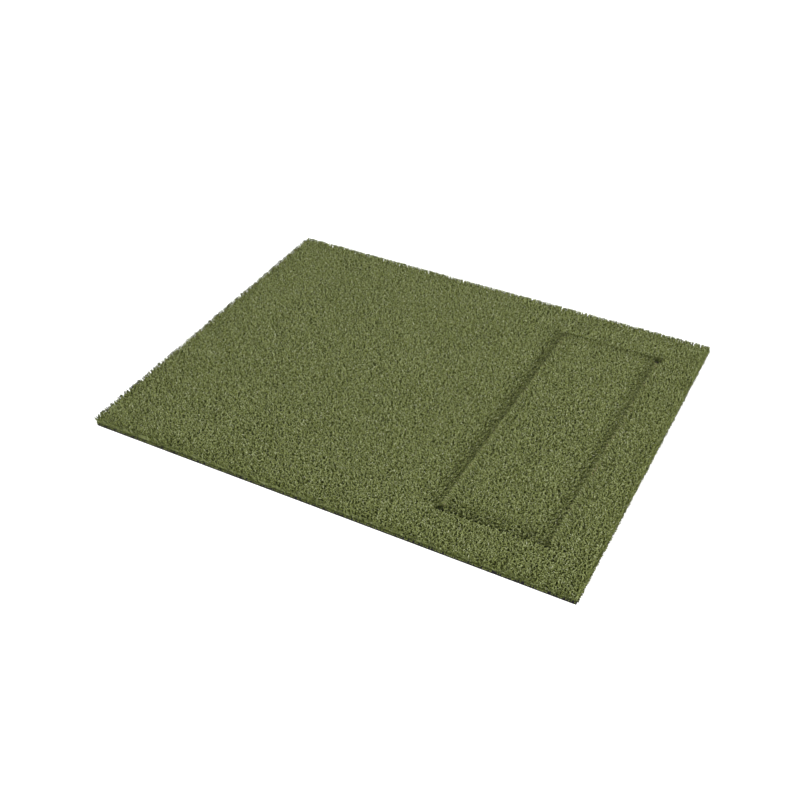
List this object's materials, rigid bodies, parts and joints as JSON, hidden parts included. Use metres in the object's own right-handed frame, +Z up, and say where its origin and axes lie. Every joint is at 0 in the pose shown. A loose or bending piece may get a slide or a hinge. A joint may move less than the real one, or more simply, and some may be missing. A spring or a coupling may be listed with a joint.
{
  "type": "golf hitting mat",
  "caption": "Rectangular turf mat for practising golf shots: a pile surface on a black rubber base, with a long rectangular hitting strip that drops into a cut-out beside the stance area.",
  "frame": {"origin": "on the ground, under the middle of the mat", "axes": "+Z up; X along the mat's long side, with the hitting strip on the +X side; +Y along the strip, the way the ball is hit"},
  "size_m": [1.524, 1.211, 0.029],
  "materials": {
    "base_rubber": "matte",
    "pad_foam": "matte",
    "strip_foam": "matte",
    "back_coat": "matte",
    "backing_cloth": "matte",
    "turf_pile": "matte",
    "strip_pile": "matte",
    "hook_tape": "matte",
    "loop_tape": "matte"
  },
  "bodies": {
    "mat": {"base_sheet": "base_rubber", "stance_foam_pad": "pad_foam", "stance_back_coat": "back_coat", "stance_backing_cloth": "backing_cloth", "stance_turf_pile": "turf_pile", "hook_tapes": "hook_tape"},
    "strip": {"strip_loop_tapes": "loop_tape", "strip_foam_pad": "strip_foam", "strip_back_coat": "back_coat", "strip_backing_cloth": "backing_cloth", "strip_turf_pile": "strip_pile"}
  },
  "joints": [
    {"name": "strip_lift", "type": "slide", "parent": "mat", "child": "strip", "axis": [0, 0, 1], "range_m": [0, 0.06]}
  ]
}
